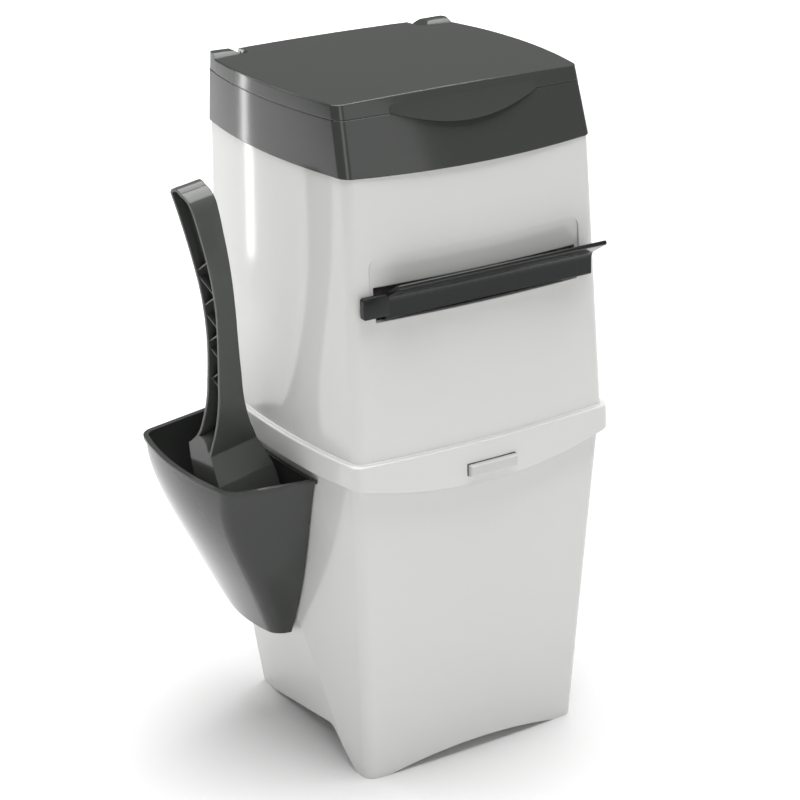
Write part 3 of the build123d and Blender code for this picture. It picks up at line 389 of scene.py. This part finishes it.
def solid_from_loops(name, loops):
    """A closed solid through a stack of loops, with one flat face over each end loop."""
    loops = np.asarray(loops, float)
    rows, columns = loops.shape[:2]
    ring = np.arange(columns)
    ends = [ring[::-1].tolist(), (ring + (rows - 1) * columns).tolist()]
    made = mesh_object(name, loops.reshape(-1, 3) * MM, grid_faces(rows, columns) + ends)
    return crease(outward(made))


def joined(name, pieces):
    """Several closed pieces as the shells of one object."""
    work = bmesh.new()
    for piece in pieces:
        work.from_mesh(piece.data)
        old = piece.data
        bpy.data.objects.remove(piece)
        bpy.data.meshes.remove(old)
    mesh = bpy.data.meshes.new(name)
    work.to_mesh(mesh)
    work.free()
    return crease(placed(name, mesh))


def finish_piece(piece, material, body):
    """Material and body of a new piece, with a line about its size."""
    piece.data.materials.clear()
    piece.data.materials.append(material)
    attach(piece, body)
    print(piece.name, len(piece.data.polygons), "faces, on", body)
    return piece


# %% [markdown]
# ## Gate handle
# The handle is one long moulding: an upright web that fills the slot, a hollow curve under the fingers
# and a flat lip with a rounded bead along its edge. Such a moulding is a section pushed along a line, so
# the section is drawn once, with a true arc in the hollow and another round the bead, and carried from
# end to end. A short plate at the left covers the end of the slot.

# %% Gate handle
LEFT_END, RIGHT_END, SLOT_END = -79.3, 97.4, 84.6
WEB_FACE, WEB_BACK, WEB_FOOT, WEB_HEAD = -110.2, -103.8, 373.7, 391.6
HOLLOW, HOLLOW_FOOT, SLOPE = 7.0, 386.2, math.radians(58.0)
COVER_BACK, TOP_BACK = -108.3, -108.4
BEAD_PLACE, BEAD = np.array([-126.9, 402.3]), 1.65


def handle_section(back):
    """Points (y, z): up the web, round the hollow, out to the bead, round it, back along the top, down."""
    turn = np.linspace(0.0, SLOPE, 14)
    hollow = np.stack([WEB_FACE - HOLLOW + HOLLOW * np.cos(turn), HOLLOW_FOOT + HOLLOW * np.sin(turn)], -1)
    round_bead = np.linspace(SLOPE - math.pi, SLOPE - 2 * math.pi, 14)
    bead = BEAD_PLACE + BEAD * np.stack([np.cos(round_bead), np.sin(round_bead)], -1)
    close = [(back, WEB_HEAD), (back, WEB_FOOT + 0.8), (back - 0.6, WEB_FOOT), (WEB_FACE + 0.8, WEB_FOOT)]
    return np.vstack([[(WEB_FACE, WEB_FOOT + 0.9)], hollow, bead, [(TOP_BACK, WEB_HEAD + 0.3)], close])


def pushed_along_x(name, section, places):
    """The section (y, z) repeated at each x."""
    loops = np.empty((len(places), len(section), 3))
    loops[..., 0] = np.asarray(places, float)[:, None]
    loops[..., 1:] = section
    return solid_from_loops(name, loops)


def rounded_plate(name, x, y, z, corner, steps=6):
    """A plate between two depths y whose outline in x and z has four rounded corners."""
    centre = np.array([(x[1] - corner, z[1] - corner), (x[0] + corner, z[1] - corner),
                       (x[0] + corner, z[0] + corner), (x[1] - corner, z[0] + corner)])
    turn = np.linspace(0, math.pi / 2, steps) + np.arange(4)[:, None] * math.pi / 2
    rim = (centre[:, None, :] + corner * np.stack([np.cos(turn), np.sin(turn)], -1)).reshape(-1, 2)
    soft = 0.35
    middle = np.array([(x[0] + x[1]) / 2, (z[0] + z[1]) / 2])
    shrink = 1 - soft / (np.array([x[1] - x[0], z[1] - z[0]]) / 2)
    loops = []
    bevel = ((y[0], shrink), (y[0] + soft * 0.3, 1 - (1 - shrink) * 0.3), (y[0] + soft, 1.0), (y[1], 1.0))
    for depth, size in bevel:
        loop = middle + (rim - middle) * size
        loops.append(np.stack([loop[:, 0], np.full(len(loop), depth), loop[:, 1]], -1))
    return solid_from_loops(name, loops)


handle = joined("gate_handle_moulding", [
    pushed_along_x("in_slot", handle_section(WEB_BACK), (LEFT_END, LEFT_END + 0.3, 0.0, SLOT_END)),
    pushed_along_x("past_slot", handle_section(COVER_BACK), (SLOT_END, RIGHT_END - 0.3, RIGHT_END)),
    rounded_plate("slot_cover", (-98.9, -77.6), (-112.9, COVER_BACK), (377.6, 393.2), 1.8),
    rounded_plate("foot", (-76.0, 76.0), (-104.3, -86.0), (380.0, 383.0), 0.6),
])
finish_piece(handle, handle_charcoal, "gate")
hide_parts("gate_handle")

# %% [markdown]
# ## Finger lip of the lid
# The front of the lid swells out and hangs over the seam as a shallow crescent. The solid model's lip is
# coarser than that, so the lid is copied, the copy's lip is pressed flat onto the wall, and a new lip is
# laid over it. Its swell grows faster than the way down does, so it leaves the wall without an edge.

# %% Lid with a plain front
LID_WALL = ((514.6, 101.4, -88.4, 4.2), (525.0, 100.8, -85.6, 2.6))
LID_FOOT = 514.9
PRESS_HALF, PRESS_TOP, PRESS_PROUD = 96.0, 524.0, 0.12  # what stands ahead of the wall in here is the CAD lip


def lid_front(x, z):
    """Depth of the plain front: a straight line between the two levels, bulged by 1 - (x / half) squared."""
    low, high = LID_WALL
    share = (z - low[0]) / (high[0] - low[0])
    half, front, bulge = (a + share * (b - a) for a, b in zip(low[1:], high[1:]))
    return front - bulge * np.clip(1 - (x / half) ** 2, 0, None)


def copy_of(name, node):
    """A welded copy of a CAD node's mesh as a new object, without the normals that were stored in it."""
    work = bmesh.new()
    work.from_mesh(NODES[node].data)
    bmesh.ops.remove_doubles(work, verts=work.verts, dist=2e-6)
    mesh = bpy.data.meshes.new(name)
    work.to_mesh(mesh)
    work.free()
    if "custom_normal" in mesh.attributes:
        mesh.attributes.remove(mesh.attributes["custom_normal"])
    return placed(name, mesh)


plain_lid = copy_of("lid_shell", "lid")
spots = np.empty(3 * len(plain_lid.data.vertices), np.float32)
plain_lid.data.vertices.foreach_get("co", spots)
spots = spots.reshape(-1, 3).astype(float) / MM
level = np.maximum(spots[:, 2], LID_FOOT)
ahead = spots[:, 1] < lid_front(spots[:, 0], level) - PRESS_PROUD
ahead &= (np.abs(spots[:, 0]) < PRESS_HALF) & (spots[:, 2] < PRESS_TOP)
spots[ahead, 2] = level[ahead]
spots[ahead, 1] = lid_front(spots[ahead, 0], level[ahead])
plain_lid.data.vertices.foreach_set("co", (spots * MM).astype(np.float32).ravel())
work = bmesh.new()
work.from_mesh(plain_lid.data)
bmesh.ops.dissolve_degenerate(work, dist=1e-6, edges=work.edges)
work.to_mesh(plain_lid.data)
work.free()
crease(plain_lid, 30)
even = plain_lid.modifiers.new("even_shading", "WEIGHTED_NORMAL")
even.keep_sharp = True
finish_piece(plain_lid, body_charcoal, "lid")
print("points pressed flat", int(ahead.sum()))

# %% Crescent lip
LIP_HALF, LIP_LOW, LIP_HIGH, LIP_SWELL = 62.0, 503.6, 523.4, 2.5
LIP_SUNK, LIP_CLEAR, LIP_INSIDE, LIP_THICK = 0.15, 0.6, 0.8, 1.5
SEAM = LID_FOOT + 0.5


def crescent_lip(columns=97, rows=25):
    """Outer skin: wall depth minus swell x (way down) to the power 1.5. The inner skin lies in the wall above
    the seam and clear of the collar below it. Rows run down the outside and back up the inside."""
    x = np.linspace(-LIP_HALF, LIP_HALF, columns)[None, :]
    arch = np.sqrt(np.clip(1 - (x / LIP_HALF) ** 2, 0, 1))
    low = SEAM - (SEAM - LIP_LOW) * arch**2.2
    down = np.linspace(0, 1, rows)[:, None]
    z = LIP_HIGH + (low - LIP_HIGH) * down
    below = z < LID_FOOT + 0.4
    swell = LIP_SWELL * arch * down**1.5
    outer = np.stack(np.broadcast_arrays(x, lid_front(x, z) + LIP_SUNK - swell, z), -1)
    offset = np.where(below, -LIP_CLEAR, LIP_INSIDE) - np.clip(swell - LIP_THICK, 0, None) * below
    inner = np.stack(np.broadcast_arrays(x, lid_front(x, z) + offset, z), -1)
    inner[..., 1] = np.maximum(inner[..., 1], outer[..., 1] + 0.12)
    loops = np.concatenate([outer, inner[::-1]], 0).transpose(1, 0, 2)
    return solid_from_loops("lid_finger_lip", loops)


lip = crescent_lip()
finish_piece(lip, lip_charcoal, "lid")
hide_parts("lid")

# %% [markdown]
# ## Bead round the band
# Where the upper housing stands on its band, a low step runs all the way round. It catches the light as
# a second fine line above the band's edge. It is a small rounded section carried round the outline.

# %% Outline and bead
def outline(half, front, back, bulges, corner, grow=0.0, steps=13, side=40):
    """Rounded square whose four sides stand out by 1 - u squared, u running from -1 to 1 along each."""
    half, front, back, corner = half + grow, front - grow, back + grow, corner + grow
    middle, deep = (front + back) / 2, (back - front) / 2
    turn = np.linspace(0, math.pi / 2, steps) + np.arange(4)[:, None] * math.pi / 2
    sign = np.array([(1, 1), (-1, 1), (-1, -1), (1, -1)])
    centre = sign * (np.array([half, deep]) - corner)
    rim = (centre[:, None, :] + corner * np.stack([np.cos(turn), np.sin(turn)], -1)).reshape(-1, 2)
    along = np.linspace(0, 1, side)[None, :, None]
    ends = rim.reshape(4, steps, 2)
    runs = ends[:, -1][:, None, :] * (1 - along) + np.roll(ends, -1, axis=0)[:, 0][:, None, :] * along
    loop = np.concatenate([ends, runs[:, 1:-1]], axis=1).reshape(-1, 2)
    u, v = loop[:, 0] / half, loop[:, 1] / deep
    swell = np.where(v < 0, bulges[0], bulges[2])
    x = loop[:, 0] + bulges[1] * u * (1 - v**2)
    y = middle + loop[:, 1] + swell * v * (1 - u**2)
    return np.stack([x, y], -1)


def bead_round(name, wall, low, high, inner, outer):
    """A closed ring: section from the inner to the outer offset, rounded at its top outer edge."""
    crest = [(outer, high - 0.45), (outer - 0.15, high - 0.12), (outer - 0.5, high)]
    section = [(inner, low), (outer, low), *crest, (inner, high)]
    rings = []
    for grow, height in section:
        loop = outline(*wall, grow=grow)
        rings.append(np.column_stack([loop, np.full(len(loop), height)]))
    rings = np.array(rings)
    faces = grid_faces(len(section), rings.shape[1], wrap_rows=True)
    return crease(outward(mesh_object(name, rings.reshape(-1, 3) * MM, faces)), 50)


BEAD_WALL = (107.4, -113.2, 106.2, (6.6, 10.6, 3.0), 9.0)  # half width, front, back, three bulges, corner
band_bead = bead_round("band_bead", BEAD_WALL, 269.3, 270.5, -0.4, 1.3)
finish_piece(band_bead, band_white, "upper")

# %% [markdown]
# ## Painted shade in the gap round the button
# The button runs in a window of the band with a little play, and the shade in that gap reads as a dark
# outline.
# A thin dark ring on the band's curved front paints that shade, and stays clear of the button so that the
# button can travel.

# %% Painted gap shade round the button
BAND_FACE, BAND_BULGE, BAND_HALF = -123.84, 6.8, 111.1
BUTTON_HALF, BUTTON_TALL, BUTTON_MIDDLE = 20.3, 4.0, 249.8


def painted_gap_shade():
    """A flat dark ring of painted shade on the band's curved front, from 0.1 to 0.9 outside the button's
    edge, 0.1 proud.
    """
    corner_turn = np.linspace(0, math.pi / 2, 5) + np.arange(4)[:, None] * math.pi / 2
    sign = np.array([(1, 1), (-1, 1), (-1, -1), (1, -1)])
    loops = []
    for grow, radius, proud in ((0.1, 0.3, -0.4), (0.9, 1.1, -0.4), (0.9, 1.1, 0.1), (0.1, 0.3, 0.1)):
        centre = sign * (np.array([BUTTON_HALF, BUTTON_TALL]) + grow - radius)
        arc = radius * np.stack([np.cos(corner_turn), np.sin(corner_turn)], -1)
        rim = (centre[:, None, :] + arc).reshape(-1, 2)
        face = BAND_FACE + BAND_BULGE * (rim[:, 0] / BAND_HALF) ** 2 - proud
        loops.append(np.column_stack([rim[:, 0], face, BUTTON_MIDDLE + rim[:, 1]]))
    loops = np.array(loops)
    faces = grid_faces(len(loops), loops.shape[1], wrap_rows=True)
    return crease(outward(mesh_object("painted_gap_shade", loops.reshape(-1, 3) * MM, faces)), 40)


gap = painted_gap_shade()
# the ring wears the dark inner plastic as painted shade for the gap, not as a part of its own
finish_piece(gap, inner_dark, "upper")

# %% [markdown]
# ## Film
# The bag is a thin tube of film, packed into the cassette in hundreds of folds and pulled down through
# its bore as it fills. A fold pattern is a wave round the tube, so the radius is a smooth outline less a
# rounded cosine of the angle. The outline itself turns from a circle in the bore to the square throat,
# which a superellipse does with one exponent.

# %% Film finish
film_clear, film_tree, film_shader = new_material("film_clear")
film_place = film_tree.nodes.new("ShaderNodeTexCoord")
film_noise = noise(film_tree.nodes, film_tree.links.new, film_place, 5.0, 90.0)
film_shade = film_tree.nodes.new("ShaderNodeMix")
film_shade.data_type = "RGBA"
film_shade.inputs["A"].default_value = (0.78, 0.80, 0.82, 1.0)
film_shade.inputs["B"].default_value = (0.66, 0.69, 0.72, 1.0)
film_tree.links.new(film_noise.outputs["Fac"], film_shade.inputs["Factor"])
film_tree.links.new(film_shade.outputs["Result"], film_shader.inputs["Base Color"])
film_bump = film_tree.nodes.new("ShaderNodeBump")
film_bump.inputs["Strength"].default_value = 0.25
film_bump.inputs["Distance"].default_value = 0.0006
film_tree.links.new(film_noise.outputs["Fac"], film_bump.inputs["Height"])
film_tree.links.new(film_bump.outputs["Normal"], film_shader.inputs["Normal"])
film_shader.inputs["Roughness"].default_value = 0.22
film_shader.inputs["Alpha"].default_value = 0.86
print("film_clear", len(film_tree.nodes), "nodes")

# %% Hanging film
FOLDS = 34
FILM_MIDDLE = 3.0
FILM_TOP, FILM_FLOOR, FILM_HALF = 483.6, 389.3, 53.6


def round_middle(radius, angle, height):
    """Points at a radius and an angle about the film's upright axis."""
    spots = np.broadcast_arrays(radius * np.cos(angle), FILM_MIDDLE + radius * np.sin(angle), height)
    return np.stack(spots, -1)


def hanging_film(columns=408, rows=44, floor_rows=16):
    """Radius = half width / (|cos|^n + |sin|^n)^(1/n), less depth x (1 + cos(folds x angle + drift)) / 2."""
    angle = np.linspace(0, 2 * math.pi, columns, endpoint=False)[None, :]
    height = np.linspace(FILM_TOP, FILM_FLOOR + 1.1, rows)[:, None]
    width = np.interp(height, (389, 402, 440, 484), (FILM_HALF, 62.0, 55.4, 55.4))
    power = np.interp(height, (389, 402, 440, 484), (5.0, 4.4, 2.3, 2.0))
    corner = np.abs(np.cos(angle)) ** power + np.abs(np.sin(angle)) ** power
    drift = 0.9 * np.sin(3 * angle + height / 26) + 0.5 * np.sin(7 * angle)
    wave = 0.5 + 0.5 * np.cos(FOLDS * angle + drift)
    depth = np.interp(height, (390, 408, 450, 480, 484), (2.6, 4.6, 3.4, 1.7, 1.2))
    radius = width / corner ** (1 / power) - depth * wave
    wall = round_middle(radius, angle, height)
    inward = np.linspace(1, 0, floor_rows + 1)[1:-1, None]
    fall = radius[-1][None, :] * inward
    pucker = FILM_FLOOR + 1.1 * inward**6 + 1.4 * inward * (1 - inward) * 4 * wave[-1][None, :] * 0.5
    points = np.concatenate([wall, round_middle(fall, angle, pucker)], 0)
    count = len(points)
    middle = ((count - 1) * columns + np.arange(columns)).tolist()
    return mesh_object("film_bag", points.reshape(-1, 3) * MM, grid_faces(count, columns) + [middle])


film = hanging_film()
skin = film.modifiers.new("skin", "SOLIDIFY")
skin.thickness = 0.0002
skin.offset = 0.0
finish_piece(film, film_clear, "upper")
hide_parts("bag_film")

# %% Packed film
PACK_INNER, PACK_OUTER, PACK_LOW, PACK_HIGH = 60.6, 83.8, 455.1, 476.7


def packed_film(columns=432, layers=12, per_layer=6):
    """A ring whose sides ripple once for each folded layer, and whose top and floor are wrinkled rays."""
    angle = np.linspace(0, 2 * math.pi, columns, endpoint=False)[None, :]
    up = np.linspace(0, 1, layers * per_layer + 1)[:, None]
    ripple = 0.5 - 0.5 * np.cos(2 * math.pi * layers * up + 1.3 * np.sin(9 * angle))
    out_r = PACK_OUTER - 0.9 * ripple - 0.25 * (1 + np.cos(61 * angle)) + 0 * up
    in_r = PACK_INNER + 0.9 * ripple + 0.25 * (1 + np.cos(61 * angle)) + 0 * up
    level = PACK_LOW + (PACK_HIGH - PACK_LOW) * up + 0 * angle
    across = np.linspace(0, 1, 14)[1:-1, None]
    ray = 0.45 * (1 + np.cos(72 * angle + 5 * across)) * np.sin(math.pi * across)
    lid_r = out_r[-1] + (in_r[-1] - out_r[-1]) * across
    floor_r = in_r[0] + (out_r[0] - in_r[0]) * across
    radius = np.concatenate([out_r, lid_r, in_r[::-1], floor_r], 0)
    height = np.concatenate([level, PACK_HIGH - ray, level[::-1], PACK_LOW + ray], 0)
    points = round_middle(radius, angle, height).reshape(-1, 3)
    return outward(mesh_object("film_folds", points * MM, grid_faces(len(radius), columns, wrap_rows=True)))


pack = packed_film()
finish_piece(pack, film_clear, "upper")
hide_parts("film_pack")

# %% [markdown]
# ## Small metal parts
# Screws are cut on a lathe, then punched and rolled: a pan head with a cross recess, and a shank with a
# thread. Round the axis the shape is a profile, so it is a grid of radius and angle. The recess lowers
# the middle of the head where either bar of a cross lies, and the thread is a wave that climbs once per
# turn. The latch spring is a wire carried along a helix.

# %% Screws
HEAD, HEAD_HIGH, SHANK = 2.6, 1.6, 1.38
PITCH, THREAD_DEEP, RECESS = 0.8, 0.16, 0.85
BAR_HALF, BAR_REACH = 0.42, 1.55


def screw(place, up, length, columns=40):
    """Rows run from the middle of the head over its rim to the shank's tip; up is +1 or -1."""
    turn = np.linspace(0, 2 * math.pi, columns, endpoint=False)[None, :]
    ring = np.linspace(0.02, 1, 13)[:, None]
    top_r = HEAD * 0.93 * ring
    x, y = np.abs(top_r * np.cos(turn)), np.abs(top_r * np.sin(turn))
    bar = np.clip((BAR_HALF - np.minimum(x, y)) / 0.12, 0, 1)
    bar = bar * np.clip((BAR_REACH - np.maximum(x, y)) / 0.25, 0, 1)
    top_z = HEAD_HIGH * (1 - 0.28 * ring**2.4) - RECESS * bar * (1 - 0.3 * ring)
    rim_r = np.array([HEAD, HEAD, HEAD * 0.97])[:, None] + 0 * turn
    rim_z = np.array([HEAD_HIGH * 0.55, 0.12, 0.0])[:, None] + 0 * turn
    down = np.linspace(0, 1, 34)[:, None]
    thread = THREAD_DEEP * np.abs(((down * length / PITCH + turn / (2 * math.pi)) % 1.0) * 2 - 1)
    shank_r = (SHANK - thread) * np.clip((1.03 - down) / 0.12, 0.25, 1)
    radius = np.concatenate([top_r + 0 * turn, rim_r, shank_r], 0)
    height = np.concatenate([top_z, rim_z, -down * length + 0 * turn], 0)
    points = np.stack([radius * np.cos(turn), radius * np.sin(turn), height], -1)
    points[..., 1:] *= up
    return solid_from_loops("screw", points + np.asarray(place, float))


def screw_set(name, node, body, places, up, length):
    """All screws of a CAD node as one piece that stands for it."""
    made = joined(name, [screw(place, up, length) for place in places])
    finish_piece(made, steel, body)
    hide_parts(node)


RIM = 93.6 / math.sqrt(2)  # the rim screws lie on a circle of this radius, on its diagonals
handle_spots = [(x, -92.0, 380.0) for x in (-60, -22, 22, 60)]
rail_spots = [(x, y, 395.0) for x in (-88, 88) for y in (-72, 84)]
rim_spots = [(x, FILM_MIDDLE + y, 475.5) for x in (-RIM, RIM) for y in (-RIM, RIM)]
screw_set("handle_screw_set", "handle_screws", "gate", handle_spots, -1, 5.1)
screw_set("rail_screw_set", "rail_screws", "upper", rail_spots, 1, 9.4)
screw_set("rim_screw_set", "rim_screws", "upper", rim_spots, -1, 4.4)

# %% Latch spring
COIL, WIRE, COIL_TURNS = 4.7, 0.42, 6.5
spring_box = np.array(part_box("button_spring")) / MM


def coil_spring(columns=10, per_turn=36):
    """Wire circle carried along x = R cos, z = R sin, y rising with the turns; the end turns lie flat."""
    count = int(COIL_TURNS * per_turn)
    share = np.linspace(0, 1, count)
    turn = 2 * math.pi * COIL_TURNS * share
    rise = np.interp(share, (0, 0.13, 0.87, 1), (0, 0.1, 0.9, 1))
    y = spring_box[0][1] + WIRE + (spring_box[1][1] - spring_box[0][1] - 2 * WIRE) * rise
    middle = (spring_box[0] + spring_box[1]) / 2
    radial = np.stack([np.cos(turn), 0 * turn, np.sin(turn)], -1)
    path = np.stack([middle[0] + 0 * turn, y, middle[2] + 0 * turn], -1) + COIL * radial
    around = np.linspace(0, 2 * math.pi, columns, endpoint=False)
    sideways = np.cos(around)[None, :, None] * radial[:, None]
    along = np.sin(around)[None, :, None] * np.array([0, 1.0, 0])
    return solid_from_loops("latch_coil", path[:, None] + WIRE * (sideways + along))


coil = coil_spring()
finish_piece(coil, steel, "button")
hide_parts("button_spring")

# %% [markdown]
# ## Rubber seals
# Two soft strips close on each other behind the gate and pinch the film. Their noses are ribbed so that
# the film cannot slip. Each is a section with a rippled front pushed along the jaw.

# %% Ribbed strips
STRIP_ENDS = (-76, -75.7, 0, 75.7, 76)


def strip_section(back, nose, low, high, ribs, steps=40):
    """Points (y, z): straight back, and a nose that is round overall with a cosine ripple for the ribs."""
    up = np.linspace(0, 1, steps)
    z = low + 0.3 + (high - low - 0.6) * up
    crown = 1 - (2 * up - 1) ** 6 * 0.35
    ripple = 0.32 * (0.5 - 0.5 * np.cos(2 * math.pi * ribs * up))
    y = back + (nose - back) * crown - np.sign(nose - back) * ripple
    return np.vstack([np.column_stack([y, z]), [(back, high - 0.3), (back, low + 0.3)]])


gate_seal = pushed_along_x("gate_seal", strip_section(72.0, 75.8, 381, 388, 4), STRIP_ENDS)
finish_piece(gate_seal, seal_rubber, "gate")
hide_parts("gate_strip")
jaw_seal = pushed_along_x("jaw_seal", strip_section(80.0, 76.2, 380, 389, 5), STRIP_ENDS)
finish_piece(jaw_seal, seal_rubber, "upper")
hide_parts("jaw_strip")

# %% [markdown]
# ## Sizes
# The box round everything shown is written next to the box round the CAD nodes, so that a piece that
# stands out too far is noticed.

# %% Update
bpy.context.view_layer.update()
